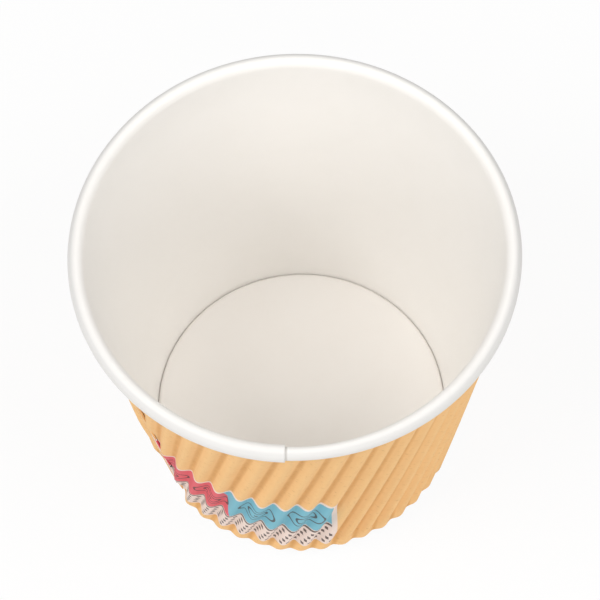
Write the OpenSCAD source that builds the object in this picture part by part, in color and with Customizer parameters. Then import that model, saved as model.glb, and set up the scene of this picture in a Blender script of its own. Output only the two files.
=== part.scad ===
// Double wall paper cup in the squat eight ounce size.
// A white paperboard cup with a rolled rim and a pressed in base carries an outer wall of kraft
// paper with slanting ripples. Millimetres, +Z up, the front faces -Y, and the origin is the
// middle of the circle on which the foot stands.

/* [Cup] */
// Height from the foot to the top of the rolled rim
cup_h = 82; // [72:0.5:100]
// Outside diameter of the rolled rim
rim_d = 90; // [84:0.5:96]
// Outside diameter of the foot
foot_d = 62.2; // [56:0.2:66]
// Thickness of the board that the sidewall is rolled from
wall_board = 0.35; // [0.25:0.05:0.45]

/* [Rolled rim] */
// Width of the roll, from the inside of the cup outwards
roll_w = 3.3; // [3:0.1:4]
// Height of the roll
roll_h = 4.4; // [3.8:0.1:5]
// Gap between the roll's first turn and its tucked in end
roll_gap = 0.15; // [0.1:0.05:0.3]
// Degrees that the end goes on turning after it has come back to the wall
roll_tuck = 70; // [30:5:90]

/* [Side seam] */
// Bearing of the seam's visible edge, in degrees from the front to the right
seam_at = -4.7; // [-30:0.1:30]
// Degrees over which the two ends of the board overlap
seam_lap = 9.6; // [6:0.2:14]
// Degrees of each step in which the wall comes back in beside the seam
seam_step = 6; // [4:1:8]

/* [Base] */
// Height of the base's upper face above the foot
base_h = 6.9; // [5.5:0.1:12]
// Thickness of the base's board
base_board = 0.35; // [0.25:0.05:0.45]
// Radius of the bend where the base turns down into its skirt
base_bend = 0.6; // [0.4:0.05:1]
// Distance by which the wall's folded in edge stops below the base
hem_drop = 1.4; // [1:0.1:3]
// Radius of the two corners of the fold that the cup stands on
fold_r = 0.26; // [0.2:0.01:0.3]
// Gap between layers of board that are sealed together
seal = 0.05; // [0.03:0.01:0.1]

/* [Ripple sleeve] */
// Thickness of the kraft paper
kraft = 0.3; // [0.2:0.05:0.4]
// Distance between neighbouring ripples at mid height, square to them
ripple_pitch = 5; // [4.5:0.1:8]
// Height of the crests over the wall at the upper edge
ripple_top = 1.1; // [0.6:0.05:1.4]
// Height of the crests over the wall at the lower edge
ripple_foot = 1.83; // [1:0.01:2]
// Depth of the ripples at the lower edge, where they are pressed shallow
edge_depth = 0.65; // [0.4:0.05:1]
// Height of the zone above the lower edge in which the ripples grow shallow
press_zone = 6; // [3:0.5:10]
// Height of the lower edge above the foot
sleeve_foot = 4.6; // [3:0.1:12]
// Gap between the roll and the upper edge
sleeve_drop = 0.3; // [0.2:0.1:2]
// Gap between the ripples' valleys and the wall
sleeve_gap = 0.14; // [0.12:0.01:0.2]
// Bearing of the blank's middle, opposite to the lap
blank_mid = 118; // [30:1:150]
// Bearing at which the ripples stand upright
upright_at = 156; // [120:1:180]
// Distance below mid height at which the ripples would meet if they were drawn on
ripple_meet = 700; // [500:10:2000]
// Place of the first crest as a part of the pitch, which slides the pattern round
crest_phase = 0.94; // [0:0.01:0.99]
// Degrees over which the ends of the sleeve overlap
sleeve_lap = 14; // [10:1:20]
// Degrees over which the ripples run out before the pressed flat ends
run_out = 5; // [4:1:8]

/* [Hidden] */

WHITE_BOARD = "#f4f1ec";
BASE_BOARD = "#efeae2";
KRAFT = "#dfae74";

// Half widths of the roll along its centre line, and the middle of the roll
roll_a = (roll_w - wall_board) / 2;
roll_b = (roll_h - wall_board) / 2;
roll_mid = [(rim_d - roll_w) / 2, cup_h - roll_h / 2];
// The wall's centre line runs straight from the foot into the inner side of the roll
foot_r = (foot_d - wall_board) / 2;
lean = atan((roll_mid[0] - roll_a - foot_r) / roll_mid[1]);
// The roll loses this much of its half width in half a turn, so that its end clears the wall
roll_pitch = wall_board + roll_gap;
// Degrees between points on the roll, on the fold and on the base's bend
ROLL_STEP = 12;
FOLD_STEP = 30;
BEND_STEP = 15;

// Layers of the foot, from the wall inwards: wall, skirt of the base, folded in hem
layer_gap = (wall_board + base_board) / 2 + seal;
hem_in = 2 * layer_gap / cos(lean);
hem_h = base_h - hem_drop;

// Steps in which the wall comes back to its circle beside the seam
SEAM_STEPS = 4;
// Ends of neighbouring sectors of wall overlap by this many degrees
JOIN = 0.2;
// The overlapping ends share this part of their thickness, as boards that are sealed do
PRESSED = 0.15;
// The overlap is pressed flat at the foot and has its full thickness from this height
seam_rise = base_h + 5;

// Sleeve: edges, radii of the crests and the cone on which the blank unrolls
UPPER_SLICES = 4;
PRESS_SLICES = 2;
SLICES = UPPER_SLICES + PRESS_SLICES;
RIPPLE_POINTS = 8;
sleeve_z = [cup_h - roll_h - sleeve_drop, sleeve_foot];
press_z = sleeve_foot + press_zone;
slice_z = concat([for (i = [0:UPPER_SLICES]) lerp(sleeve_z[0], press_z, i / UPPER_SLICES)],
                 [for (i = [1:PRESS_SLICES]) lerp(press_z, sleeve_z[1], i / PRESS_SLICES)]);
crest_r = [for (i = [0, 1]) wall_outside(sleeve_z[i]) + sleeve_gap + kraft + [ripple_top, ripple_foot][i]];
sleeve_lean = atan((crest_r[0] - crest_r[1]) / (sleeve_z[0] - sleeve_z[1]));
blank_turn = sin(sleeve_lean);
// Place on the unrolled cone, measured from its tip, at which the ripples would meet
tip_mid = (crest_r[0] + crest_r[1]) / 2 / blank_turn;
meet_at = tip_mid - ripple_meet;
point_pitch = ripple_pitch / RIPPLE_POINTS;
// Bearings from the blank's middle: the end of the sheet, its flat end and its full ripples
end_at = 180 + sleeve_lap / 2;
flat_at = 180 - sleeve_lap / 2;
full_at = flat_at - run_out;
// Bearings of the points on each flat end
END_POINTS = 4;
// The outer end of the sleeve lies this far out, over its inner end
lap_lift = kraft + sleeve_gap;
// Degrees over which the sleeve climbs over its own end, and over the cup's seam
CLIMB = 4;

function lerp(a, b, t) = a + (b - a) * t;
function clamp01(t) = max(0, min(1, t));
function smooth01(t) = let (c = clamp01(t)) c * c * (3 - 2 * c);
function unit(v) = v / norm(v);
function wrap180(a) = a - 360 * round(a / 360);
// Sum of the first n values
function total(v, n) = n == 0 ? 0 : v[n - 1] + total(v, n - 1);

// Radii of the sidewall's two faces at a height
function wall_centre(z) = foot_r + z * tan(lean);
function wall_inside(z) = wall_centre(z) - wall_board / 2 / cos(lean);
function wall_outside(z) = wall_centre(z) + wall_board / 2 / cos(lean);

// Points of an arc by its middle, radius and first and last bearing
function arc(mid, r, from, to, step) =
    let (n = ceil(abs(to - from) / step))
    [for (i = [0:n]) let (a = lerp(from, to, i / n)) mid + r * [cos(a), sin(a)]];

// A path moved sideways by a distance for each point, to its right where that is positive, with
// mitred corners
function beside(path, d) = [for (i = [0:len(path) - 1])
    let (a = i == 0 ? undef : unit(path[i] - path[i - 1]),
         b = i == len(path) - 1 ? undef : unit(path[i + 1] - path[i]),
         u = is_undef(a) ? b : a,
         v = is_undef(b) ? a : b,
         m = unit(u + v))
    path[i] + d[i] / (m * u) * [m[1], -m[0]]];

// Outline of a sheet of board along a path, moved to its right by a shift for each point
function sheet(path, board, shift) =
    let (a = beside(path, [for (s = shift) s - board / 2]),
         b = beside(path, [for (s = shift) s + board / 2]))
    concat(a, [for (i = [len(b) - 1:-1:0]) b[i]]);

// The roll: from the top of the wall over, down, back to the wall and up inside itself
roll_path = let (from = 180 - lean, to = -180 - roll_tuck, n = ceil((from - to) / ROLL_STEP))
    [for (i = [0:n])
        let (a = lerp(from, to, i / n), in = a < 0 ? -a / 180 * roll_pitch : 0)
        roll_mid + [(roll_a - in) * cos(a), (roll_b - in) * sin(a)]];

// The fold at the foot, where the wall turns in and up round the skirt of the base
fold_path = let (z = wall_board / 2 + fold_r,
                 inner = [wall_centre(z) - hem_in + fold_r / cos(lean), z],
                 outer = [wall_centre(z) - fold_r / cos(lean), z])
    concat(arc(inner, fold_r, 180 - lean, 270, FOLD_STEP),
           arc(outer, fold_r, 270, 360 - lean, FOLD_STEP));

foot_path = concat([[wall_centre(hem_h) - hem_in, hem_h]], fold_path);
wall_path = concat(foot_path, [[wall_centre(seam_rise), seam_rise]], roll_path);

// One sector of sidewall between two bearings, moved out above the foot by a shift
module wall_sector(from, to, shift = 0) {
    shifts = [for (i = [0:len(wall_path) - 1]) i < len(foot_path) ? 0 : shift];
    rotate([0, 0, from - 90])
        rotate_extrude(angle = to - from, $fn = 180)
            polygon(sheet(wall_path, wall_board, shifts));
}

// Inner cup: the board meets itself in a lap, comes back in by small steps and closes the ring
module sidewall() {
    lap_shift = wall_board * (1 - PRESSED);
    steps_from = seam_at + seam_step;
    ring_from = steps_from + (SEAM_STEPS - 1) * seam_step;
    color(WHITE_BOARD) {
        wall_sector(ring_from - JOIN, seam_at + 360);
        wall_sector(seam_at - seam_lap, steps_from, lap_shift);
        for (i = [1:SEAM_STEPS - 1])
            wall_sector(steps_from + (i - 1) * seam_step - JOIN, steps_from + i * seam_step,
                        lap_shift * (1 - i / SEAM_STEPS));
    }
}

// Base: a disc whose edge is turned down into a skirt between the wall and the hem
module base_disc() {
    top = base_h - base_board / 2;
    r_at = function (z) wall_centre(z) - layer_gap / cos(lean);
    bend = [r_at(top - base_bend) - base_bend / cos(lean), top - base_bend];
    skirt_end = wall_board + seal;
    path = concat([[0, top]],
                  arc(bend, base_bend, 90, -lean, BEND_STEP),
                  [[r_at(skirt_end), skirt_end]]);
    color(BASE_BOARD) rotate_extrude($fn = 180)
        polygon(sheet(path, base_board, [for (p = path) 0]));
}

// Height of a ripple over its valley, from 0 to 1: broad crests and narrow valleys
function ripple(t) = pow((1 + cos(360 * t)) / 2, 0.8);

// How far the cup's own seam pushes the sleeve out at a bearing
function seam_lift(at) =
    let (a = wrap180(at - seam_at), tail = SEAM_STEPS * seam_step)
    wall_board * (a < 0 ? smooth01((a + seam_lap + CLIMB) / CLIMB) : smooth01(1 + (seam_step - a) / tail));

// Part of the sleeve's height that lies above a slice
function slice_part(slice) = (sleeve_z[0] - slice_z[slice]) / (sleeve_z[0] - sleeve_z[1]);

// Radius of the sleeve's outer face at a bearing from the blank's middle
function sleeve_radius(slice, off, line) =
    let (crest = lerp(ripple_top, ripple_foot, slice_part(slice)),
         depth = lerp(crest, edge_depth, smooth01((press_z - slice_z[slice]) / press_zone)),
         full = 1 - smooth01((abs(off) - full_at) / run_out),
         over = smooth01((off - full_at) / run_out) * lap_lift)
    wall_outside(slice_z[slice]) + sleeve_gap + kraft + seam_lift(blank_mid + off) + over
        + full * (crest - depth * (1 - ripple(line / ripple_pitch + crest_phase)));

// On the flat blank the ripples are straight lines to one far point below the blank. A line is
// named by its distance from the upright one at mid height. These give the line at a bearing from
// the blank's middle, and the bearing of a line.
upright_off = upright_at - blank_mid;
function tip_distance(slice) = lerp(crest_r[0], crest_r[1], slice_part(slice)) / blank_turn;
function line_at(slice, off) =
    let (turn = (off - upright_off) * blank_turn, tip = tip_distance(slice))
    ripple_meet * tip * sin(turn) / (tip * cos(turn) - meet_at);
function off_of(slice, line) =
    let (k = line / ripple_meet, tip = tip_distance(slice),
         up = (k * k * meet_at + sqrt(tip * tip * (1 + k * k) - k * k * meet_at * meet_at)) / (1 + k * k))
    upright_off + atan2(k * (up - meet_at), up) / blank_turn;

// Every row of points has its first and last ripple point just inside the flat ends
first_point = [for (s = [0:SLICES]) ceil(line_at(s, -flat_at) / point_pitch + 0.5)];
last_point = [for (s = [0:SLICES]) floor(line_at(s, flat_at) / point_pitch - 0.5)];
row_bearings = [for (s = [0:SLICES]) concat(
    [for (k = [0:END_POINTS - 1]) lerp(-end_at, -flat_at, k / (END_POINTS - 1))],
    [for (i = [first_point[s]:last_point[s]]) off_of(s, i * point_pitch)],
    [for (k = [0:END_POINTS - 1]) lerp(flat_at, end_at, k / (END_POINTS - 1))])];
row_size = [for (s = [0:SLICES]) len(row_bearings[s])];
row_start = [for (s = [0:SLICES + 1]) total(row_size, s)];

// Points of one face of the sleeve, set in from the outer face by a thickness
function sleeve_points(in) = [for (s = [0:SLICES]) for (off = row_bearings[s])
    let (r = sleeve_radius(s, off, line_at(s, off)) - in, a = blank_mid + off)
    [r * sin(a), -r * cos(a), slice_z[s]]];

// Triangles between two slices. A row below is shorter, as its outermost ripples have run out
// into the flat ends, so the spare points above fan in to its first and last ripple point.
function slice_faces(s) =
    let (up = row_start[s], down = row_start[s + 1], first = END_POINTS,
         left = first_point[s + 1] - first_point[s], right = last_point[s] - last_point[s + 1],
         up_n = row_size[s], down_n = row_size[s + 1])
    concat(
        [for (k = [0:first - 2]) each quad(up + k, up + k + 1, down + k, down + k + 1)],
        quad(up + first - 1, up + first, down + first - 1, down + first),
        [for (k = [0:1:left - 1]) [up + first + k, up + first + k + 1, down + first]],
        [for (k = [first:down_n - first - 2])
            each quad(up + left + k, up + left + k + 1, down + k, down + k + 1)],
        [for (k = [0:1:right - 1])
            [up + up_n - first - 1 - right + k, up + up_n - first - right + k, down + down_n - first - 1]],
        quad(up + up_n - first - 1, up + up_n - first, down + down_n - first - 1, down + down_n - first),
        [for (k = [first:-1:2])
            each quad(up + up_n - k, up + up_n - k + 1, down + down_n - k, down + down_n - k + 1)]);

function quad(a, b, c, d) = [[a, b, c], [b, d, c]];
function flipped(faces) = [for (f = faces) [f[2], f[1], f[0]]];

// Outer wall: one sheet of rippled kraft, wrapped round the cup and glued end over end
module ripple_sleeve() {
    count = row_start[SLICES + 1];
    outer = [for (s = [0:SLICES - 1]) each slice_faces(s)];
    inner = [for (f = flipped(outer)) [f[0] + count, f[1] + count, f[2] + count]];
    bottom = row_start[SLICES];
    top_edge = [for (k = [0:row_size[0] - 2]) each quad(k + count, k + 1 + count, k, k + 1)];
    low_edge = [for (k = [bottom:count - 2]) each quad(k, k + 1, k + count, k + 1 + count)];
    first_end = [for (s = [0:SLICES - 1])
        each quad(row_start[s] + count, row_start[s], row_start[s + 1] + count, row_start[s + 1])];
    last_end = [for (s = [0:SLICES - 1])
        let (a = row_start[s + 1] - 1, b = row_start[s + 2] - 1)
        each quad(a, a + count, b, b + count)];
    color(KRAFT) polyhedron(concat(sleeve_points(0), sleeve_points(kraft)),
                            concat(outer, inner, top_edge, low_edge, first_end, last_end));
}

sidewall();
base_disc();
ripple_sleeve();
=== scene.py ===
"""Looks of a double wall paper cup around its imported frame.

A white paperboard cup with a rolled rim and a pressed in base stands in an outer wall of kraft
paper with slanting ripples, on a pale floor under soft studio light. Lengths are metres.
"""

import logging
import math
from dataclasses import dataclass
from enum import Enum
from typing import Callable, Optional, Sequence, Union

import bpy
import numpy as np
from mathutils import Matrix, Vector

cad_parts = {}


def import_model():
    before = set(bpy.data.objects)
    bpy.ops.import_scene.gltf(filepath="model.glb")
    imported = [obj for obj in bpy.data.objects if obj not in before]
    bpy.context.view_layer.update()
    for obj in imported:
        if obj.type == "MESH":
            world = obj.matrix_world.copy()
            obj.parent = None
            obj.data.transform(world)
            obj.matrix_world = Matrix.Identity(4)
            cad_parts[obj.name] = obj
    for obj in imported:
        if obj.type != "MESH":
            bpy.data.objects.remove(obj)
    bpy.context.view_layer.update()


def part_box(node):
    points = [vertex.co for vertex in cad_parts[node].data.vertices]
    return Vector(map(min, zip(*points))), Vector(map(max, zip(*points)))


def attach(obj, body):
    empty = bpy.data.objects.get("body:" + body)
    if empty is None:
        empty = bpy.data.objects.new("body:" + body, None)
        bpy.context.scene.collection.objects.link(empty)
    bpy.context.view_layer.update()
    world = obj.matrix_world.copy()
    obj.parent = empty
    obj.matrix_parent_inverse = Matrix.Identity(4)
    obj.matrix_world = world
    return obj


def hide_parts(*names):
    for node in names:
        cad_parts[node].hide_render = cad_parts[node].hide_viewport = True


MM = 0.001
NEAR = 0.01 * MM  # points closer than this to a ring belong to it
BEND_ANGLE = math.radians(50)  # bends up to this angle are shaded smooth
UNDER, OVER = 6, 7  # the Mix node's two colour inputs
BLANK_MAP = "Blank"  # UV map that holds each point's place on the flat sheet
RIPPLE_MARK = "ripple"  # attribute that holds the ripple's height, from 0 to 1

Source = Union[float, Sequence[float], bpy.types.Node, bpy.types.NodeSocket]
Inputs = Union[Sequence[Source], dict[Union[int, str], Source]]

log = logging.getLogger("cup")


def srgb(hex_code: str) -> tuple[float, float, float, float]:
    """Turns an sRGB hex colour such as "#dfae74" into the linear colour that shaders take.

    Args:
        hex_code: The colour as six hex digits after a hash sign.

    Returns:
        Linear red, green, blue and an alpha of 1.
    """
    parts = [int(hex_code[i:i + 2], 16) / 255 for i in (1, 3, 5)]
    linear = [p / 12.92 if p <= 0.04045 else ((p + 0.055) / 1.055) ** 2.4 for p in parts]
    return (*linear, 1.0)


def feed(node: bpy.types.Node, inputs: Inputs) -> None:
    """Gives a node's inputs their values and links.

    Args:
        node: The node.
        inputs: What each input takes, in order or by name: a value, an output socket, or a
            node, whose first output in use is taken.
    """
    for key, source in inputs.items() if isinstance(inputs, dict) else enumerate(inputs):
        if isinstance(source, bpy.types.Node):
            source = next(output for output in source.outputs if output.enabled)
        if isinstance(source, bpy.types.NodeSocket):
            node.id_data.links.new(source, node.inputs[key])
        else:
            node.inputs[key].default_value = source


def add_node(
    tree: bpy.types.NodeTree, kind: str, inputs: Inputs = (), **settings: object
) -> bpy.types.Node:
    """Adds a shader node with its settings, values and links.

    Args:
        tree: The node tree that the node goes into.
        kind: Blender's name for the node's type.
        inputs: What each input takes, in order or by name.
        **settings: Attributes of the node, such as its operation.

    Returns:
        The new node.
    """
    node = tree.nodes.new(kind)
    for name, setting in settings.items():
        setattr(node, name, setting)
    feed(node, inputs)
    return node


def overlap(tree: bpy.types.NodeTree, *masks: Source) -> Source:
    """Multiplies masks, which leaves what lies in all of them.

    Args:
        tree: The node tree that the nodes go into.
        *masks: Masks and shares from 0 to 1.

    Returns:
        Their product.
    """
    whole, *others = masks
    for mask in others:
        whole = add_node(tree, "ShaderNodeMath", (whole, mask), operation="MULTIPLY")
    return whole


def between(tree: bpy.types.NodeTree, value: Source, low: float, high: float) -> Source:
    """Gives 1 where a value lies between two limits and 0 elsewhere.

    Args:
        tree: The node tree that the nodes go into.
        value: The value to test.
        low: The lower limit.
        high: The upper limit.

    Returns:
        The mask.
    """
    above = add_node(tree, "ShaderNodeMath", (value, low), operation="GREATER_THAN")
    below = add_node(tree, "ShaderNodeMath", (value, high), operation="LESS_THAN")
    return overlap(tree, above, below)


def paint(tree: bpy.types.NodeTree, under: Source, over: Source, *masks: Source) -> Source:
    """Paints one colour over another where some masks overlap.

    Args:
        tree: The node tree that the nodes go into.
        under: The colour below.
        over: The colour on top.
        *masks: Masks and shares from 0 to 1.

    Returns:
        The mixed colour.
    """
    inputs = {"Factor": overlap(tree, *masks), UNDER: under, OVER: over}
    return add_node(tree, "ShaderNodeMix", inputs, data_type="RGBA")


def start_material(
    name: str,
) -> tuple[bpy.types.Material, bpy.types.NodeTree, bpy.types.Node]:
    """Adds a material with its nodes.

    Args:
        name: Name of the material.

    Returns:
        The material, its node tree and its main shader.
    """
    material = bpy.data.materials.new(name)
    material.use_nodes = True
    return material, material.node_tree, material.node_tree.nodes["Principled BSDF"]


def smooth(t: np.ndarray) -> np.ndarray:
    """Rises from 0 to 1 with level ends as t goes from 0 to 1."""
    c = np.clip(t, 0.0, 1.0)
    return c * c * (3 - 2 * c)


def wrap_degrees(angle: np.ndarray) -> np.ndarray:
    """Brings angles into the half turn on either side of zero."""
    return angle - 360 * np.round(angle / 360)


def deselect_all() -> None:
    """Leaves nothing selected, so that the next operator acts on its own piece."""
    if bpy.context.object and bpy.context.object.mode != "OBJECT":
        bpy.ops.object.mode_set(mode="OBJECT")
    bpy.ops.object.select_all(action="DESELECT")


def pick(piece: bpy.types.Object) -> None:
    """Selects one piece alone, for the operators that follow.

    Args:
        piece: The piece.
    """
    deselect_all()
    piece.select_set(True)
    bpy.context.view_layer.objects.active = piece


def cover(piece: bpy.types.Object, material: bpy.types.Material) -> None:
    """Gives a piece one material all over."""
    piece.data.materials.clear()
    piece.data.materials.append(material)


def points_of(piece: bpy.types.Object) -> np.ndarray:
    """Reads a piece's vertices.

    Args:
        piece: The piece.

    Returns:
        Their places, as rows of x, y and z.
    """
    places = np.empty(len(piece.data.vertices) * 3)
    piece.data.vertices.foreach_get("co", places)
    return places.reshape(-1, 3)


def place_points(piece: bpy.types.Object, places: np.ndarray) -> None:
    """Moves a piece's vertices to the given rows of x, y and z."""
    piece.data.vertices.foreach_set("co", places.reshape(-1))
    piece.data.update()


def lay_flat_grid(name: str, columns: int, rows: int) -> bpy.types.Object:
    """Adds a flat grid from -1 to 1 each way, as the blank that a sheet is formed from.

    Args:
        name: Name of the piece.
        columns: Number of faces along X.
        rows: Number of faces along Y.

    Returns:
        The grid, at the origin.
    """
    deselect_all()
    bpy.ops.mesh.primitive_grid_add(x_subdivisions=columns, y_subdivisions=rows, size=2)
    piece = bpy.context.object
    piece.name = name
    return piece


def write_uv(piece: bpy.types.Object, across: np.ndarray, along: np.ndarray) -> None:
    """Stores each vertex's place on the flat sheet, in metres, as the piece's UV map.

    Args:
        piece: The formed sheet.
        across: Distance round the cup for each vertex.
        along: Distance up the sheet for each vertex.
    """
    corner = np.empty(len(piece.data.loops), dtype=int)
    piece.data.loops.foreach_get("vertex_index", corner)
    layer = piece.data.uv_layers.active or piece.data.uv_layers.new(name=BLANK_MAP)
    layer.name = BLANK_MAP
    layer.data.foreach_set("uv", np.stack([across[corner], along[corner]], 1).reshape(-1))


def face_outwards(piece: bpy.types.Object, outward: Callable[[Vector], Vector]) -> None:
    """Turns an open sheet over if its faces point the wrong way.

    Args:
        piece: The open sheet.
        outward: Gives the direction that a face with this middle should point in.
    """
    agree = sum(
        math.copysign(1, f.normal.dot(outward(f.center))) for f in piece.data.polygons
    )
    if agree < 0:
        pick(piece)
        bpy.ops.object.mode_set(mode="EDIT")
        bpy.ops.mesh.select_all(action="SELECT")
        bpy.ops.mesh.flip_normals()
        bpy.ops.object.mode_set(mode="OBJECT")


def thicken(piece: bpy.types.Object, board: float, offset: float) -> None:
    """Gives a sheet its thickness, with closed edges, and smooth shading between its bends.

    Args:
        piece: The formed sheet.
        board: Thickness of the paper.
        offset: -1 to thicken behind the faces, 0 to thicken on both sides.
    """
    pick(piece)
    solidify = piece.modifiers.new("Board", "SOLIDIFY")
    solidify.thickness = board
    solidify.offset = offset
    solidify.use_even_offset = True
    solidify.use_rim = True
    bpy.ops.object.modifier_apply(modifier=solidify.name)
    bpy.ops.object.shade_smooth_by_angle(angle=BEND_ANGLE)


@dataclass(frozen=True)
class CupSizes:
    """Sizes that the pieces share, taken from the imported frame.

    Attributes:
        height: Height of the top of the roll over the foot.
        rim_r: Outside radius of the roll.
        foot_r: Radius of the sidewall's middle layer at the foot.
        base_h: Height of the base's upper face.
        sleeve_low: Height of the outer wall's lower edge.
        sleeve_high: Height of the outer wall's upper edge.
        board: Thickness of the white board.
        roll_w: Width of the roll.
        roll_h: Height of the roll.
    """

    height: float
    rim_r: float
    foot_r: float
    base_h: float
    sleeve_low: float
    sleeve_high: float
    board: float = 0.35 * MM
    roll_w: float = 3.3 * MM
    roll_h: float = 4.4 * MM

    @classmethod
    def from_frame(cls) -> "CupSizes":
        """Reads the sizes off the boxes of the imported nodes.

        Returns:
            The sizes.
        """
        _, wall_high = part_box("sidewall")
        _, base_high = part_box("base_disc")
        sleeve_low, sleeve_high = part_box("ripple_sleeve")
        foot_d = 62.2 * MM  # outside diameter of the foot, which no node's box gives
        return cls(
            height=wall_high.z,
            rim_r=wall_high.x,
            foot_r=(foot_d - cls.board) / 2,
            base_h=base_high.z,
            sleeve_low=sleeve_low.z,
            sleeve_high=sleeve_high.z,
        )

    @property
    def roll_half(self) -> tuple[float, float]:
        """Half width and half height of the roll along the middle of the board."""
        return (self.roll_w - self.board) / 2, (self.roll_h - self.board) / 2

    @property
    def roll_middle(self) -> tuple[float, float]:
        """Radius and height of the middle of the roll."""
        return self.rim_r - self.roll_w / 2, self.height - self.roll_h / 2

    @property
    def lean(self) -> float:
        """Angle of the sidewall from upright, in radians."""
        middle_r, middle_z = self.roll_middle
        return math.atan((middle_r - self.roll_half[0] - self.foot_r) / middle_z)

    def wall_r(self, z: Union[float, np.ndarray]) -> Union[float, np.ndarray]:
        """Radius of the middle of the sidewall's board at a height."""
        return self.foot_r + z * math.tan(self.lean)

    def outside_r(self, z: Union[float, np.ndarray]) -> Union[float, np.ndarray]:
        """Radius of the sidewall's outer face at a height."""
        return self.wall_r(z) + self.board / 2 / math.cos(self.lean)


class Paper(Enum):
    """The cup's papers, by the names of their material slots."""

    WHITE_BOARD = "white_board"
    BASE_BOARD = "base_board"
    KRAFT = "kraft"


@dataclass(frozen=True)
class CoatedBoard:
    """Bleached paperboard with a thin film of polyethylene pressed onto it.

    The film gives a soft even sheen, and the fibres under it still show as a faint cloudiness
    and a fine grain. Light that bounces about inside the cup warms the slightly creamy white.
    On the curled rim the colour is a shade greyer, painted shade that dims the brightly lit roll,
    with fine lines along the curl. Beside the lap a thin shadow is painted.

    Attributes:
        name: Name of the material.
        white: Colour of the board.
        cloud: Colour of its thinner, slightly darker patches.
        curled: Colour of the curl, painted shade that dims the brightly lit roll.
        drawn: Colour of the fine noise lines along the curl, over its painted shade.
        lap_shadow: Colour of the shadow painted beside the lap.
        lap_shadow_share: Share of that colour in the painted shadow.
        roughness: Roughness of the film.
        ior: Refractive index of the film.
        cloud_mm: Size of the cloudy patches.
        grain_mm: Spacing of the fibre grain, drawn coarser than the real 0.1 mm so it shows.
        relief: Strength of the grain's relief, and its height in millimetres.
        line_mm: Length and spacing of the fine lines.
        curl_shade_fade_mm: Length over which the painted shade of the curl sets in.
    """

    name: str = "Paperboard_PE_coated"
    white: str = "#fdfaf6"
    cloud: str = "#f9f6f1"
    curled: str = "#e9e7e4"
    drawn: str = "#e1dfdc"
    lap_shadow: str = "#cac6c1"
    lap_shadow_share: float = 0.75
    roughness: float = 0.5
    ior: float = 1.5
    cloud_mm: float = 9.0
    grain_mm: float = 0.45
    relief: tuple[float, float] = (0.10, 0.05)
    line_mm: tuple[float, float] = (14.0, 0.5)
    curl_shade_fade_mm: float = 1.0

    def build(
        self, curl_from: Optional[float] = None, lap_shadow_at: tuple[float, float] = (0.0, 0.0)
    ) -> bpy.types.Material:
        """Builds the material with its nodes.

        Args:
            curl_from: Distance up the sheet at which the curl and its painted shade start, or None
                without them.
            lap_shadow_at: Distances across the sheet between which the shadow painted beside the
                lap lies.

        Returns:
            The material.
        """
        material, tree, shader = start_material(self.name)
        place = add_node(tree, "ShaderNodeTexCoord").outputs["Object"]
        cloud, grain = (
            add_node(
                tree, "ShaderNodeTexNoise",
                {"Vector": place, "Scale": 1 / (size * MM), "Detail": detail, "Roughness": rough},
            )
            for size, detail, rough in ((self.cloud_mm, 4.0, 0.6), (self.grain_mm, 3.0, 0.65))
        )
        tint = paint(tree, srgb(self.white), srgb(self.cloud), cloud)
        # Painted shade on the curl, and a painted shadow beside the lap.
        if curl_from is not None:
            tint = self._shade_curl_and_lap(tree, tint, curl_from, lap_shadow_at)
        strength, relief_mm = self.relief
        bump = add_node(
            tree, "ShaderNodeBump",
            {"Strength": strength, "Distance": relief_mm * MM, "Height": grain},
        )
        feed(
            shader,
            {"Base Color": tint, "Roughness": self.roughness, "IOR": self.ior, "Normal": bump},
        )
        return material

    def _shade_curl_and_lap(
        self,
        tree: bpy.types.NodeTree,
        tint: Source,
        curl_from: float,
        lap_shadow_at: tuple[float, float],
    ) -> Source:
        """Paints shade on the curl, with fine lines along it, and a shadow beside the lap.

        Args:
            tree: The material's nodes.
            tint: The board's colour.
            curl_from: Distance up the sheet at which the curl and its painted shade start.
            lap_shadow_at: Distances across the sheet between which the shadow painted beside the
                lap lies.

        Returns:
            The colour with the curl's painted shade and the painted shadow beside the lap.
        """
        sheet = add_node(tree, "ShaderNodeUVMap", uv_map=BLANK_MAP)
        across, along, _ = add_node(tree, "ShaderNodeSeparateXYZ", (sheet,)).outputs
        long, fine = (1 / (size * MM) for size in self.line_mm)
        drawn = add_node(tree, "ShaderNodeMapping", {"Vector": sheet, "Scale": (long, fine, 1)})
        lines = add_node(
            tree, "ShaderNodeTexNoise",
            {"Vector": drawn, "Scale": 1.0, "Detail": 3.0, "Roughness": 0.6},
        )
        curl_shade_full = curl_from + self.curl_shade_fade_mm * MM
        start = add_node(
            tree, "ShaderNodeMapRange",
            {"Value": along, "From Min": curl_from, "From Max": curl_shade_full},
        )
        # The curl's colour is painted shade, a grey that dims the brightly lit roll, with fine
        # noise lines in it.
        curl = paint(tree, srgb(self.curled), srgb(self.drawn), lines)
        tint = paint(tree, tint, curl, start)
        # A thin shadow painted beside the lap's visible edge.
        lap_shadow = between(tree, across, *lap_shadow_at)
        return paint(tree, tint, srgb(self.lap_shadow), lap_shadow, self.lap_shadow_share)


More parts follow.
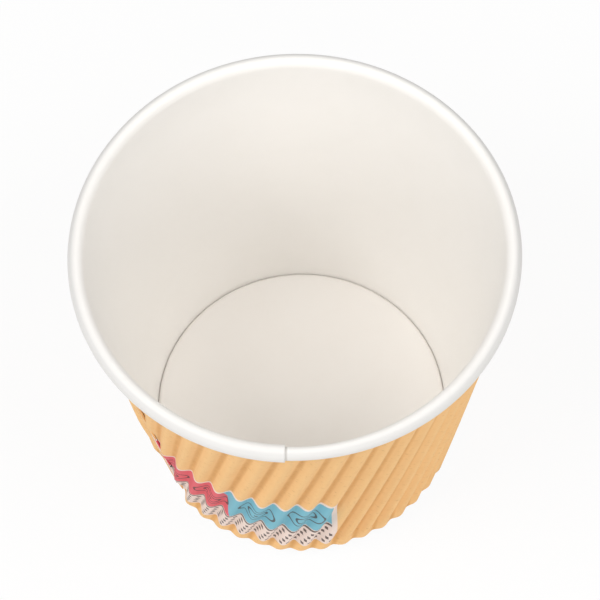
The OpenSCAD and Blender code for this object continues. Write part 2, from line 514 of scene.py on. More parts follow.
@dataclass(frozen=True)
class PrintedPanel:
    """Band of flexographic print on the outer wall.

    Two flat fields of water based ink carry rings in dark lines, and a pale strip below them
    carries rows of short bars. The ink lies on the paper before it is rippled, so the straight
    edges of the print zigzag over the ripples, as they do on such cups.

    Distances across run to the right of the front, and heights run up from the wall's lower
    edge, both along the paper.

    Attributes:
        left: Left end.
        right: Right end.
        low: Lower edge.
        high: Upper edge.
        margin: Width of the pale margin.
        strip_top: Top of the pale strip below the colour fields.
        split: Place where the fields meet.
        ring_pitch: Distance between neighbouring sets of rings.
        ring_step: Distance between the rings of a set.
        ring_line: Width of a ring's line, as a share of that distance.
        ring_reach: Radius of a set, in ring steps.
        bar_pitch: Distance between neighbouring bars.
        bar_width: Width of a bar, as a share of that distance.
        row_pitch: Distance between rows of bars.
        row_part: Where a bar starts and ends in its row, as shares of that distance.
        rows_clear: Bare height below the lowest and above the highest row.
        rule_below: Distances of the rule's edges below the strip's top.
        warm: Ink of the left field.
        cool: Ink of the right field.
        pale: Ink of the margin and the strip.
        dark: Ink of the lines and bars.
        ring_ink: Share of that ink in the rings.
        bar_ink: Share of that ink in the bars and the rule.
    """

    left: float = -39.0 * MM
    right: float = 6.9 * MM
    low: float = 4.2 * MM
    high: float = 34.6 * MM
    margin: float = 1.1 * MM
    strip_top: float = 17.0 * MM
    split: float = -18.0 * MM
    ring_pitch: float = 11.0 * MM
    ring_step: float = 1.9 * MM
    ring_line: float = 0.26
    ring_reach: float = 2.4
    bar_pitch: float = 1.7 * MM
    bar_width: float = 0.42
    row_pitch: float = 2.6 * MM
    row_part: tuple[float, float] = (0.25, 0.8)
    rows_clear: tuple[float, float] = (0.9 * MM, 2.3 * MM)
    rule_below: tuple[float, float] = (1.5 * MM, 0.4 * MM)
    warm: str = "#e4626c"
    cool: str = "#7cbccd"
    pale: str = "#f0ddd3"
    dark: str = "#4b3b36"
    ring_ink: float = 0.85
    bar_ink: float = 0.9

    def build(self, tree: bpy.types.NodeTree, flat: Source, paper: Source) -> Source:
        """Prints the panel over the paper.

        Args:
            tree: The material's nodes.
            flat: Place on the flat sheet.
            paper: Colour of the bare paper.

        Returns:
            The colour of paper and print.
        """
        x, y, _ = add_node(tree, "ShaderNodeSeparateXYZ", (flat,)).outputs
        top = self.high - self.margin
        inner = between(tree, x, self.left + self.margin, self.right - self.margin)
        field = overlap(tree, inner, between(tree, y, self.strip_top, top))
        side = add_node(tree, "ShaderNodeMath", (x, self.split), operation="GREATER_THAN")
        inks = paint(tree, srgb(self.warm), srgb(self.cool), side)
        rings = self._rings(tree, x, y, (self.strip_top + top) / 2)
        bars = self._bars(tree, x, y)
        across = between(tree, x, self.left, self.right)
        colour = paint(
            tree, paper, srgb(self.pale), across, between(tree, y, self.low, self.high)
        )
        colour = paint(tree, colour, inks, field)
        colour = paint(tree, colour, srgb(self.dark), field, rings, self.ring_ink)
        return paint(tree, colour, srgb(self.dark), inner, bars, self.bar_ink)

    def _rings(self, tree: bpy.types.NodeTree, x: Source, y: Source, middle: float) -> Source:
        """Masks sets of rings about evenly spaced centres.

        Args:
            tree: The material's nodes.
            x: Distance across.
            y: Height.
            middle: Height of the centres.

        Returns:
            The mask of the rings.
        """
        cell = add_node(tree, "ShaderNodeMath", (x, self.ring_pitch / 2), operation="PINGPONG")
        place = add_node(tree, "ShaderNodeCombineXYZ", (cell, y))
        far = add_node(
            tree, "ShaderNodeVectorMath", (place, (0, middle, 0)), operation="DISTANCE"
        )
        steps = add_node(tree, "ShaderNodeMath", (far, self.ring_step), operation="DIVIDE")
        part = add_node(tree, "ShaderNodeMath", (steps,), operation="FRACT")
        line = add_node(tree, "ShaderNodeMath", (part, self.ring_line), operation="LESS_THAN")
        near = add_node(tree, "ShaderNodeMath", (steps, self.ring_reach), operation="LESS_THAN")
        return overlap(tree, line, near)

    def _bars(self, tree: bpy.types.NodeTree, x: Source, y: Source) -> Source:
        """Masks rows of short bars, every other row moved by half a pitch, under a rule.

        Args:
            tree: The material's nodes.
            x: Distance across.
            y: Height.

        Returns:
            The mask of the bars and the rule.
        """
        up = add_node(tree, "ShaderNodeMath", (y, self.low), operation="SUBTRACT")
        row = add_node(tree, "ShaderNodeMath", (up, self.row_pitch), operation="DIVIDE")
        count = add_node(tree, "ShaderNodeMath", (row,), operation="FLOOR")
        odd = add_node(tree, "ShaderNodeMath", (count, 1.0), operation="PINGPONG")
        beside = add_node(tree, "ShaderNodeMath", (x, self.bar_pitch), operation="DIVIDE")
        moved = add_node(tree, "ShaderNodeMath", (odd, 0.5, beside), operation="MULTIPLY_ADD")
        in_row, in_column = (
            add_node(tree, "ShaderNodeMath", (steps,), operation="FRACT") for steps in (row, moved)
        )
        bar = add_node(tree, "ShaderNodeMath", (in_column, self.bar_width), operation="LESS_THAN")
        clear_low, clear_high = self.rows_clear
        rows = between(tree, y, self.low + clear_low, self.strip_top - clear_high)
        bars = overlap(tree, bar, between(tree, in_row, *self.row_part), rows)
        rule = between(tree, y, *(self.strip_top - below for below in self.rule_below))
        return add_node(tree, "ShaderNodeMath", (bars, rule), operation="MAXIMUM")


@dataclass(frozen=True)
class KraftPaper:
    """Unbleached kraft paper with ripples pressed in and a printed panel.

    Kraft is made from long brown fibres: it is matt, warm brown, slightly mottled, with small
    darker and lighter fibre specks. The crests are painted paler, as painted light, and the
    valleys darker, as painted shade. The ink lies on the paper and takes its grain.

    Attributes:
        name: Name of the material.
        brown: Colour of the paper on the flat.
        valley_shade: Colour of the valleys, painted shade.
        crest: Colour of the crests, painted light.
        crest_light_from: Height of the ripple from which the crests have that painted light, from
            0 to 1.
        speck: Colour of the dark specks.
        speck_share: Share of that colour in a speck.
        speck_range: Noise values between which a speck comes up.
        roughness: Roughness of the paper.
        ior: Refractive index of the fibres.
        mottle_mm: Size of the mottled patches.
        speck_mm: Spacing of the specks.
        fibre_mm: Length of the fibres in the grain.
        relief: Strength of the grain's relief, and its height in millimetres.
        panel: The print.
    """

    name: str = "Kraft_paper_rippled"
    brown: str = "#f0bd7e"
    valley_shade: str = "#cf944b"
    crest: str = "#f7cb8d"
    crest_light_from: float = 0.4
    speck: str = "#b9844a"
    speck_share: float = 0.45
    speck_range: tuple[float, float] = (0.60, 0.80)
    roughness: float = 0.78
    ior: float = 1.47
    mottle_mm: float = 4.0
    speck_mm: float = 0.9
    fibre_mm: float = 0.7
    relief: tuple[float, float] = (0.35, 0.08)
    panel: PrintedPanel = PrintedPanel()

    def build(self) -> bpy.types.Material:
        """Builds the material with its nodes.

        Returns:
            The material.
        """
        material, tree, shader = start_material(self.name)
        flat = add_node(tree, "ShaderNodeUVMap", uv_map=BLANK_MAP)
        mottle, specks, fibres = (
            add_node(
                tree, "ShaderNodeTexNoise",
                {"Vector": flat, "Scale": 1 / (size * MM), "Detail": detail, "Roughness": rough},
            )
            for size, detail, rough in (
                (self.mottle_mm, 6.0, 0.7), (self.speck_mm, 2.0, 0.5), (self.fibre_mm, 5.0, 0.7)
            )
        )
        colour = self.panel.build(tree, flat, self._paper(tree, mottle, specks))
        strength, relief_mm = self.relief
        bump = add_node(
            tree, "ShaderNodeBump",
            {"Strength": strength, "Distance": relief_mm * MM, "Height": fibres},
        )
        feed(
            shader,
            {"Base Color": colour, "Roughness": self.roughness, "IOR": self.ior, "Normal": bump},
        )
        return material

    def _paper(self, tree: bpy.types.NodeTree, mottle: Source, specks: Source) -> Source:
        """Colours the bare paper, with painted shade in the valleys and painted light on the
        crests.

        Args:
            tree: The material's nodes.
            mottle: Noise of the mottled patches.
            specks: Noise of the specks.

        Returns:
            The paper's colour.
        """
        height = add_node(tree, "ShaderNodeAttribute", attribute_name=RIPPLE_MARK).outputs["Fac"]
        rise = add_node(
            tree, "ShaderNodeMapRange",
            {"Value": height, "From Min": 0.0, "From Max": self.crest_light_from},
            interpolation_type="SMOOTHSTEP",
        )
        low, high = self.speck_range
        picked = add_node(
            tree, "ShaderNodeMapRange",
            {"Value": specks, "From Min": low, "From Max": high, "To Max": self.speck_share},
        )
        # Painted shade in the valleys and painted light on the crests, by the ripple's height.
        pressed = paint(tree, srgb(self.valley_shade), srgb(self.crest), rise)
        mottled = paint(tree, pressed, srgb(self.brown), mottle)
        return paint(tree, mottled, srgb(self.speck), picked)


@dataclass
class Sidewall:
    """Inner cup: one blank of board rolled to a cone, lapped, curled at the rim, hemmed below.

    Attributes:
        sizes: Sizes shared by the pieces.
        seam_at: Bearing of the lap's visible edge, in degrees from the front to the right.
        seam_lap: Degrees over which the ends overlap.
        ease: Degrees over which the board comes back to its circle beside the seam.
        roll_gap: Gap between the roll's turns.
        roll_tuck: Degrees that the roll turns on after coming back to the wall.
        roll_tuck: Degrees that the roll turns on after coming back to the wall.
        hem_drop: Distance by which the folded in edge stops below the base.
        hem_low: Height of the hem's end at the fold.
        wall_low: Height of the wall's start at the fold.
        roll_clear: Distance below the roll's middle at which the wall ends.
        fold_r: Radius of the corners of the fold.
        layer_gap: Distance between the middles of neighbouring layers at the foot.
        lap_shift: Shift of the upper end over the lower one, in thicknesses of the board.
        lap_least: Share of that shift at the foot.
        lap_low: Height from which the shift grows.
        lap_rise: Height over which it grows.
        lap_shadow_w: Width of the crease shown beside the lap.
        columns: Faces round the cup.
        fold_rows: Points along the hem and along each corner of the fold.
        wall_rows: Points up the wall.
        roll_rows: Points round the roll.
    """

    sizes: CupSizes
    seam_at: float = -4.7
    seam_lap: float = 9.6
    ease: float = 60.0
    roll_gap: float = 0.15 * MM
    roll_tuck: float = 70.0
    hem_drop: float = 1.4 * MM
    hem_low: float = 1.0 * MM
    wall_low: float = 2.0 * MM
    roll_clear: float = 2.0 * MM
    fold_r: float = 0.26 * MM
    layer_gap: float = 0.4 * MM
    lap_shift: float = 1.04
    lap_least: float = 0.03
    lap_low: float = 1.0 * MM
    # lap_shadow_w: Width of the shadow painted beside the lap.
    lap_rise: float = 11.0 * MM
    lap_shadow_w: float = 0.4 * MM
    columns: int = 420
    fold_rows: int = 4
    wall_rows: int = 22
    roll_rows: int = 44

    def path(self) -> np.ndarray:
        """Draws the section along the middle of the board, from the hem's edge to the roll's.

        Returns:
            Its points, as rows of radius and height.
        """
        s = self.sizes
        lean = math.degrees(s.lean)
        hem_in = 2 * self.layer_gap / math.cos(s.lean)
        foot_z = s.board / 2 + self.fold_r
        side = self.fold_r / math.cos(s.lean)
        corner = s.wall_r(foot_z)
        hem = np.linspace(s.base_h - self.hem_drop, self.hem_low, self.fold_rows)
        points = [(s.wall_r(z) - hem_in, z) for z in hem]
        for middle, start, end in (
            (corner - hem_in + side, 180 - lean, 270),
            (corner - side, 270, 360 - lean),
        ):
            for a in np.radians(np.linspace(start, end, self.fold_rows)):
                r = middle + self.fold_r * math.cos(a)
                points.append((r, foot_z + self.fold_r * math.sin(a)))
        middle_r, middle_z = s.roll_middle
        wall = np.linspace(self.wall_low, middle_z - self.roll_clear, self.wall_rows)
        points += [(s.wall_r(z), z) for z in wall]
        half_w, half_h = s.roll_half
        pitch = s.board + self.roll_gap
        for a in np.linspace(180 - lean, -180 - self.roll_tuck, self.roll_rows):
            inwards = max(0.0, -a / 180) * pitch
            r = middle_r + (half_w - inwards) * math.cos(math.radians(a))
            points.append((r, middle_z + (half_h - inwards) * math.sin(math.radians(a))))
        return np.array(points)

    def shift(self, bearing: np.ndarray, z: np.ndarray) -> np.ndarray:
        """Distance by which the board lies outside its own circle, so that its ends lap.

        Args:
            bearing: Bearing along the sheet, from the under layer's edge to the visible edge.
            z: Height of each point.

        Returns:
            The shift towards the outer face of the board.
        """
        past = bearing - self.seam_at
        over = 1 - smooth((past - self.seam_lap / 2) / self.ease)
        rise = smooth((z - self.lap_low) / self.lap_rise)
        share = self.lap_least + (1 - self.lap_least) * rise
        return self.sizes.board * self.lap_shift * over * share

    def build(self) -> bpy.types.Object:
        """Forms the blank and gives it its thickness.

        Returns:
            The piece.
        """
        path = self.path()
        rows = len(path) - 1
        piece = lay_flat_grid("cup_sidewall", self.columns, rows)
        grid = points_of(piece)
        row = np.rint((grid[:, 1] + 1) / 2 * rows).astype(int)
        bearing = self.seam_at - self.seam_lap + (grid[:, 0] + 1) / 2 * (360 + self.seam_lap)
        along = np.gradient(path, axis=0)
        along /= np.linalg.norm(along, axis=1)[:, None]
        out = np.stack([along[:, 1], -along[:, 0]], 1)
        shift = self.shift(bearing, path[row, 1])
        r, z = (path[row] + out[row] * shift[:, None]).T
        a = np.radians(bearing)
        place_points(piece, np.stack([r * np.sin(a), -r * np.cos(a), z], 1))
        write_uv(piece, a * self.sizes.wall_r(self.sizes.height / 2), self.lengths(path)[row])
        thicken(piece, self.sizes.board, 0.0)
        return piece

    @staticmethod
    def lengths(path: np.ndarray) -> np.ndarray:
        """Returns the distance along the board at each point of its path."""
        return np.concatenate([[0], np.cumsum(np.linalg.norm(np.diff(path, axis=0), axis=1))])

    def dress(self, piece: bpy.types.Object) -> None:
        """Gives the piece its finish, with the places on the sheet of the curl's painted shade and
        of the shadow painted beside the lap.

        Args:
            piece: The piece.
        """
        path = self.path()
        top = float(self.lengths(path)[int(np.argmax(path[:, 1]))])
        # Where the shadow is painted, just beside the lap's visible edge.
        lap_shadow = math.radians(self.seam_at) * self.sizes.wall_r(self.sizes.height / 2)
        cover(piece, CoatedBoard().build(top, (lap_shadow, lap_shadow + self.lap_shadow_w)))


@dataclass
class BaseDisc:
    """Base: a disc of board with its edge turned down between the wall and the hem.

    Attributes:
        sizes: Sizes shared by the pieces.
        layer_gap: Distance between the middles of the skirt and the wall.
        bend_r: Radius of the bend into the skirt.
        bend_faces: Faces across the bend.
        skirt_end: Height of the skirt's lower edge.
        dish: Depth of the disc's slight hollow.
        dish_rim: Width of the level ring outside the hollow.
        dish_slope: Width of the slope down into the hollow.
        corners: Corners of the disc's edge.
        rings: Widths of the rings that the disc is divided into, from its edge inwards.
    """

    sizes: CupSizes
    layer_gap: float = 0.4 * MM
    bend_r: float = 0.85 * MM
    bend_faces: int = 6
    skirt_end: float = 0.4 * MM
    dish: float = 0.25 * MM
    dish_rim: float = 2.0 * MM
    dish_slope: float = 16.0 * MM
    corners: int = 360
    rings: tuple[float, ...] = (2.0 * MM, 4.0 * MM, 8.0 * MM, 8.0 * MM)

    def build(self) -> bpy.types.Object:
        """Models the disc from a circle by insetting, extruding its edge down and bevelling.

        Returns:
            The piece.
        """
        s = self.sizes
        top = s.base_h - s.board / 2
        edge_r = s.wall_r(top) - self.layer_gap / math.cos(s.lean)
        low_r = s.wall_r(self.skirt_end) - self.layer_gap / math.cos(s.lean)
        deselect_all()
        bpy.ops.mesh.primitive_circle_add(
            vertices=self.corners, radius=edge_r, fill_type="NGON", location=(0, 0, top)
        )
        piece = bpy.context.object
        piece.name = "cup_base"
        bpy.ops.object.transform_apply(location=True, rotation=True, scale=True)
        bpy.ops.object.mode_set(mode="EDIT")
        bpy.ops.mesh.select_mode(type="FACE")
        bpy.ops.mesh.select_all(action="SELECT")
        for ring in self.rings:
            bpy.ops.mesh.inset(thickness=ring)
        bpy.ops.object.mode_set(mode="OBJECT")
        self._pull_skirt(piece, edge_r, low_r, top)
        self._press_dish(piece, edge_r, top)
        face_outwards(piece, lambda c: Vector((c.x, c.y, edge_r)))
        self._round_bend(piece, edge_r, top)
        thicken(piece, s.board, 0.0)
        return piece

    def _select_ring(self, piece: bpy.types.Object, radius: float, z: float) -> None:
        """Selects the edges that run round at a radius and height, in edit mode.

        Args:
            piece: The piece.
            radius: Their distance from the cup's axis.
            z: Their height.
        """
        bpy.ops.object.mode_set(mode="OBJECT")
        close = [
            abs(math.hypot(v.co.x, v.co.y) - radius) < NEAR and abs(v.co.z - z) < NEAR
            for v in piece.data.vertices
        ]
        for edge in piece.data.edges:
            edge.select = all(close[i] for i in edge.vertices)
        for face in piece.data.polygons:
            face.select = False
        for vertex, hit in zip(piece.data.vertices, close):
            vertex.select = hit
        bpy.ops.object.mode_set(mode="EDIT")
        bpy.ops.mesh.select_mode(type="EDGE")

    def _pull_skirt(
        self, piece: bpy.types.Object, edge_r: float, low_r: float, top: float
    ) -> None:
        """Extrudes the disc's edge down to the skirt's lower edge and narrows it there.

        Args:
            piece: The piece.
            edge_r: Radius of the disc.
            low_r: Radius of the skirt's lower edge.
            top: Height of the disc.
        """
        self._select_ring(piece, edge_r, top)
        bpy.ops.mesh.extrude_edges_move(
            TRANSFORM_OT_translate={"value": (0, 0, self.skirt_end - top)}
        )
        narrow = low_r / edge_r
        bpy.ops.transform.resize(value=(narrow, narrow, 1), center_override=(0, 0, 0))
        bpy.ops.object.mode_set(mode="OBJECT")

    def _press_dish(self, piece: bpy.types.Object, edge_r: float, top: float) -> None:
        """Presses the middle of the disc slightly down, deepest at its centre.

        Args:
            piece: The piece.
            edge_r: Radius of the disc.
            top: Height of the disc.
        """
        places = points_of(piece)
        r = np.hypot(places[:, 0], places[:, 1])
        on_top = places[:, 2] > top - NEAR
        slope = smooth((edge_r - self.dish_rim - r) / self.dish_slope)
        places[:, 2] -= np.where(on_top, self.dish * slope, 0)
        place_points(piece, places)

    def _round_bend(self, piece: bpy.types.Object, edge_r: float, top: float) -> None:
        """Rounds the bend between disc and skirt.

        Args:
            piece: The piece.
            edge_r: Radius of the disc.
            top: Height of the disc.
        """
        self._select_ring(piece, edge_r, top)
        bpy.ops.mesh.bevel(
            offset=self.bend_r, segments=self.bend_faces, affect="EDGES", offset_type="OFFSET"
        )
        bpy.ops.object.mode_set(mode="OBJECT")

    def dress(self, piece: bpy.types.Object) -> None:
        """Gives the piece its finish, a shade warmer than the sidewall's: painted warmth of the
        light that bounces down onto the base.
        """
        board = CoatedBoard(name="Paperboard_base_PE_coated", white="#fcf8f3", cloud="#f9f4ee")
        cover(piece, board.build())


@dataclass
class RippleSleeve:
    """Outer wall: a web of kraft with slanting ripples, cut to a fan and wrapped end over end.

    On the flat blank the ripples are straight lines to one far point below the blank. A line is
    named by its distance from the upright one at mid height.

    Attributes:
        sizes: Sizes shared by the pieces.
        seam: The cup's own seam, which pushes the sleeve out a little.
        kraft: Thickness of the paper.
        pitch: Distance between ripples at mid height, square to them.
        crest_high: Height of the crests over the wall at the upper edge.
        crest_low: Height of the crests over the wall at the lower edge.
        edge_depth: Depth of the ripples at the lower edge, where they are pressed shallow.
        press_zone: Height of the zone above the lower edge in which they grow shallow.
        gap: Gap between the valleys and the cup.
        blank_mid: Bearing of the blank's middle, opposite to the lap.
        upright_at: Bearing at which the ripples stand upright.
        meet: Distance below mid height at which the ripples would meet.
        crest_phase: Place of the first crest as a part of the pitch.
        crest_power: Power that makes the crests broad and the valleys narrow.
        lap: Degrees over which the ends overlap.
        run_out: Degrees over which the ripples run out before the flat ends.
        climb: Degrees over which the sleeve climbs over the cup's seam.
        settle: Degrees over which it comes back beside the seam.
        ripple_faces: Faces across one ripple.
        rows: Faces down to the pressed zone.
        press_rows: Faces in the pressed zone.
    """

    sizes: CupSizes
    seam: Sidewall
    kraft: float = 0.3 * MM
    pitch: float = 5.0 * MM
    crest_high: float = 1.1 * MM
    crest_low: float = 1.83 * MM
    edge_depth: float = 0.65 * MM
    press_zone: float = 6.0 * MM
    gap: float = 0.14 * MM
    blank_mid: float = 118.0
    upright_at: float = 156.0
    meet: float = 700.0 * MM
    crest_phase: float = 0.94
    crest_power: float = 0.8
    lap: float = 14.0
    run_out: float = 5.0
    climb: float = 4.0
    settle: float = 24.0
    ripple_faces: int = 16
    rows: int = 20
    press_rows: int = 8

    def __post_init__(self) -> None:
        """Works out the cone on which the blank unrolls."""
        s = self.sizes
        foot = self.gap + self.kraft
        high_r = s.outside_r(s.sleeve_high) + foot + self.crest_high
        low_r = s.outside_r(s.sleeve_low) + foot + self.crest_low
        self.turn = math.sin(math.atan((high_r - low_r) / (s.sleeve_high - s.sleeve_low)))
        self.tip_high, self.tip_low = high_r / self.turn, low_r / self.turn
        self.meet_at = (self.tip_high + self.tip_low) / 2 - self.meet
        self.upright = math.radians(self.upright_at - self.blank_mid) * self.turn
        self.flat_at = 180 - self.lap / 2
        self.end_at = 180 + self.lap / 2
        self.full_at = self.flat_at - self.run_out

    def tip(self, z: np.ndarray) -> np.ndarray:
        """Distance from the tip of the unrolled cone at a height."""
        s = self.sizes
        return np.interp(z, (s.sleeve_low, s.sleeve_high), (self.tip_low, self.tip_high))

    def line(self, tip: np.ndarray, turn: np.ndarray) -> np.ndarray:
        """Line of a place on the blank.

        Args:
            tip: Distance from the cone's tip.
            turn: Angle about the tip, from the blank's middle.

        Returns:
            The line's distance from the upright one.
        """
        past = turn - self.upright
        return self.meet * tip * np.sin(past) / (tip * np.cos(past) - self.meet_at)

    def turn_of(self, tip: np.ndarray, line: np.ndarray) -> np.ndarray:
        """Angle about the tip at which a line lies on the blank.

        Args:
            tip: Distance from the cone's tip.
            line: The line's distance from the upright one.

        Returns:
            The angle from the blank's middle.
        """
        k, meet_at = line / self.meet, self.meet_at
        root = np.sqrt(tip * tip * (1 + k * k) - k * k * meet_at * meet_at)
        up = (k * k * meet_at + root) / (1 + k * k)
        return self.upright + np.arctan2(k * (up - meet_at), up)

    def ripple(self, line: np.ndarray) -> np.ndarray:
        """Height of a ripple from 0 to 1: broad crests and narrow valleys."""
        wave = (1 + np.cos(2 * math.pi * (line / self.pitch + self.crest_phase))) / 2
        return wave ** self.crest_power

    def radius(self, off: np.ndarray, line: np.ndarray, z: np.ndarray) -> np.ndarray:
        """Radius of the outer face.

        Args:
            off: Bearing from the blank's middle, in degrees.
            line: Line of each point.
            z: Height of each point.

        Returns:
            The radius of each point.
        """
        s = self.sizes
        crest = np.interp(z, (s.sleeve_low, s.sleeve_high), (self.crest_low, self.crest_high))
        pressed = smooth((s.sleeve_low + self.press_zone - z) / self.press_zone)
        depth = crest + (self.edge_depth - crest) * pressed
        full = 1 - smooth((np.abs(off) - self.full_at) / self.run_out)
        over = smooth((off - self.full_at) / self.run_out) * (self.kraft + self.gap)
        past = wrap_degrees(self.blank_mid + off - self.seam.seam_at)
        lift = np.where(
            past < 0,
            smooth((past + self.seam.seam_lap + self.climb) / self.climb),
            smooth(1 + (self.climb - past) / self.settle),
        )
        return (
            s.outside_r(z) + self.gap + self.kraft + s.board * lift + over
            + full * (crest - depth * (1 - self.ripple(line)))
        )

    def build(self) -> bpy.types.Object:
        """Cuts the fan from a flat web, wraps it round the cup and gives it its thickness.

        Returns:
            The piece.
        """
        s = self.sizes
        press_z = s.sleeve_low + self.press_zone
        heights = np.concatenate([
            np.linspace(s.sleeve_low, press_z, self.press_rows + 1)[:-1],
            np.linspace(press_z, s.sleeve_high, self.rows + 1),
        ])
        half = math.radians(self.end_at) * self.turn
        first, last = (
            self.line(self.tip_high, side * half) + side * self.pitch for side in (-1, 1)
        )
        columns = round((last - first) / self.pitch * self.ripple_faces)
        piece = lay_flat_grid("cup_ripple_sleeve", columns, len(heights) - 1)
        grid = points_of(piece)
        row = np.rint((grid[:, 1] + 1) / 2 * (len(heights) - 1)).astype(int)
        tip = self.tip(heights)[row]
        turn = self.turn_of(tip, first + (grid[:, 0] + 1) / 2 * (last - first))
        place_points(piece, np.stack([tip * np.sin(turn), tip * np.cos(turn), 0 * tip], 1))
        self._trim(piece, half)
        self._wrap(piece)
        face_outwards(piece, lambda c: Vector((c.x, c.y, 0)))
        thicken(piece, self.kraft, -1.0)
        return piece

    def _trim(self, piece: bpy.types.Object, half: float) -> None:
        """Cuts the web along the blank's two straight ends.

        Args:
            piece: The flat web; not used, as the cut acts on the active piece.
            half: Angle of the ends about the tip, from the blank's middle.
        """
        bpy.ops.object.mode_set(mode="EDIT")
        for side in (-1, 1):
            bpy.ops.mesh.select_all(action="SELECT")
            bpy.ops.mesh.bisect(
                plane_co=(0, 0, 0),
                plane_no=(side * math.cos(half), -math.sin(half), 0),
                clear_outer=True,
            )
        bpy.ops.object.mode_set(mode="OBJECT")

    def _wrap(self, piece: bpy.types.Object) -> None:
        """Rolls the flat blank onto its cone and presses the ripples into it.

        Args:
            piece: The flat blank.
        """
        s = self.sizes
        blank = points_of(piece)
        tip = np.hypot(blank[:, 0], blank[:, 1])
        turn = np.arctan2(blank[:, 0], blank[:, 1])
        off = np.degrees(turn / self.turn)
        line = self.line(tip, turn)
        z = np.interp(tip, (self.tip_low, self.tip_high), (s.sleeve_low, s.sleeve_high))
        r = self.radius(off, line, z)
        a = np.radians(self.blank_mid + off)
        place_points(piece, np.stack([r * np.sin(a), -r * np.cos(a), z], 1))
        middle_r = (self.tip_high + self.tip_low) / 2 * self.turn
        front = np.radians(wrap_degrees(self.blank_mid + off))
        write_uv(piece, front * middle_r, tip - self.tip_low)
        # The ripple's height, which places the kraft's painted light and shade.
        mark = piece.data.attributes.new(RIPPLE_MARK, "FLOAT", "POINT")
        mark.data.foreach_set("value", self.ripple(line).astype(np.float32))

    def dress(self, piece: bpy.types.Object) -> None:
        """Gives the piece its finish."""
        cover(piece, KraftPaper().build())


@dataclass(frozen=True)
class Viewpoint:
    """The photograph's camera, found from the outlines of the rim, the base and the outer wall.

    Attributes:
        distance: Distance from the middle of the rim's top.
        elevation: Degrees above the rim's plane.
        pitch: Degrees by which the view axis points down.
        yaw: Degrees by which the view axis points to the right.
        roll: Degrees by which the picture is turned to the left.
        focal_mm: Focal length on that sensor.
        sensor_mm: Width of the sensor.
        nearest: Distance from which the camera sees.
    """

    distance: float = 571.4 * MM
    elevation: float = 63.05
    pitch: float = 64.104
    yaw: float = 0.150
    roll: float = 2.43
    focal_mm: float = 173.8
    sensor_mm: float = 36.0
    nearest: float = 10.0 * MM

    def build(self, height: float) -> bpy.types.Object:
        """Adds the camera.

        Args:
            height: Height of the rim's top.

        Returns:
            The camera object.
        """
        e, p, y, r = (math.radians(a) for a in (self.elevation, self.pitch, self.yaw, self.roll))
        eye = Vector((0, -math.cos(e), math.sin(e))) * self.distance + Vector((0, 0, height))
        ahead = Vector((math.sin(y) * math.cos(p), math.cos(y) * math.cos(p), -math.sin(p)))
        level = Vector((math.cos(y), -math.sin(y), 0))
        upward = level.cross(ahead)
        right = math.cos(r) * level - math.sin(r) * upward
        up = math.sin(r) * level + math.cos(r) * upward
        turn = Matrix((right, up, -ahead)).transposed().to_4x4()
        camera = bpy.data.objects.new("camera", bpy.data.cameras.new("camera"))
        camera.data.sensor_width = self.sensor_mm
        camera.data.lens = self.focal_mm
        camera.data.clip_start = self.nearest
        camera.matrix_world = Matrix.Translation(eye) @ turn
        bpy.context.scene.collection.objects.link(camera)
        bpy.context.scene.camera = camera
        return camera


@dataclass(frozen=True)
class SoftLight:
    """Square soft light that points at the cup.

    Attributes:
        name: Name of the light.
        place: Where it stands.
        power: Its power in watts.
        side: Length of its sides.
        aim: Where it points.
    """

    name: str
    place: tuple[float, float, float]
    power: float
    side: float = 0.5
    aim: tuple[float, float, float] = (0.0, 0.0, 0.04)

    def build(self) -> None:
        """Adds the light."""
        light = bpy.data.objects.new(self.name, bpy.data.lights.new(self.name, "AREA"))
        light.data.size = self.side
        light.data.energy = self.power
        light.location = self.place
        ahead = Vector(self.aim) - Vector(self.place)
        light.rotation_euler = ahead.to_track_quat("-Z", "Y").to_euler()
        bpy.context.scene.collection.objects.link(light)


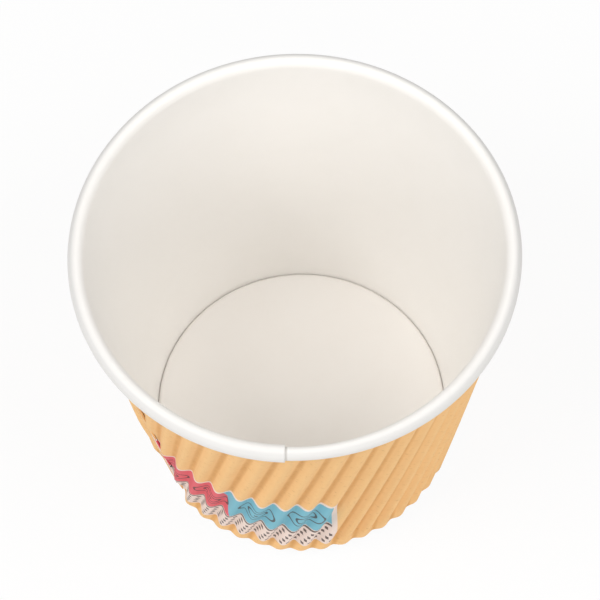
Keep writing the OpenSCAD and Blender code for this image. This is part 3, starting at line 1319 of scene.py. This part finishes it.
@dataclass(frozen=True)
class Studio:
    """Plain pale floor, white surroundings and soft lights.

    Attributes:
        surroundings: Strength of the even white light from all round.
        floor: Colour of the floor.
        floor_side: Length of the floor's sides.
        floor_rough: Roughness of the floor.
        floor_white: Share of plain white that the camera and reflections see in the floor.
        lights: The main light high at the left, a weaker one high at the right, and a low one
            in front, which lights the outer wall.
    """

    surroundings: float = 0.42
    floor: str = "#f4f4f4"
    floor_side: float = 6.0
    floor_rough: float = 0.9
    floor_white: float = 0.9
    lights: tuple[SoftLight, ...] = (
        SoftLight("left", (-0.6, -0.3, 1.0), 5.8),
        SoftLight("right", (0.6, -0.3, 1.0), 4.2),
        SoftLight("front", (0.0, -1.1, 0.5), 2.2),
    )

    def build(self) -> None:
        """Adds the floor, the world and the lights."""
        bpy.context.scene.view_settings.view_transform = "Standard"
        self._floor()
        self._world()
        for light in self.lights:
            light.build()

    def _floor(self) -> None:
        """Adds the floor, which shows white to the camera and keeps a soft shadow."""
        deselect_all()
        bpy.ops.mesh.primitive_plane_add(size=self.floor_side, location=(0, 0, 0))
        floor = bpy.context.object
        floor.name = "studio_floor"
        material, tree, shader = start_material("Studio_paper_white")
        feed(shader, {"Base Color": srgb(self.floor), "Roughness": self.floor_rough})
        rays = add_node(tree, "ShaderNodeLightPath").outputs
        seen = add_node(
            tree, "ShaderNodeMath",
            (rays["Is Camera Ray"], rays["Is Glossy Ray"]),
            operation="MAXIMUM",
        )
        share = overlap(tree, seen, self.floor_white)
        white = add_node(tree, "ShaderNodeEmission", {"Color": (1, 1, 1, 1), "Strength": 1.0})
        mix = add_node(tree, "ShaderNodeMixShader", (share, shader, white))
        feed(tree.nodes["Material Output"], {"Surface": mix})
        cover(floor, material)

    def _world(self) -> None:
        """Lights the cup evenly from all round and shows plain white behind it."""
        world = bpy.data.worlds.new("studio")
        bpy.context.scene.world = world
        world.use_nodes = True
        tree = world.node_tree
        rays = add_node(tree, "ShaderNodeLightPath").outputs
        strength = add_node(
            tree, "ShaderNodeMapRange",
            {"Value": rays["Is Camera Ray"], "To Min": self.surroundings, "To Max": 1.0},
        )
        feed(tree.nodes["Background"], {"Color": (1, 1, 1, 1), "Strength": strength})


def fit_out(piece: bpy.types.Object, node: str) -> None:
    """Makes a piece stand for its node and ride on the cup's one body.

    Args:
        piece: The finished piece.
        node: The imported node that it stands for.
    """
    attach(piece, "root")
    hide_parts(node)
    log.info("%s: %d faces, stands for %s", piece.name, len(piece.data.polygons), node)


def main() -> None:
    """Loads the frame, builds the pieces and the studio."""
    logging.basicConfig(level=logging.INFO, format="%(name)s: %(message)s")
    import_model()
    sizes = CupSizes.from_frame()
    wall = Sidewall(sizes)
    base = BaseDisc(sizes)
    sleeve = RippleSleeve(sizes, wall)
    for part, node, paper in (
        (wall, "sidewall", Paper.WHITE_BOARD),
        (base, "base_disc", Paper.BASE_BOARD),
        (sleeve, "ripple_sleeve", Paper.KRAFT),
    ):
        piece = part.build()
        part.dress(piece)
        fit_out(piece, node)
    Viewpoint().build(sizes.height)
    Studio().build()


if __name__ == "__main__":
    main()
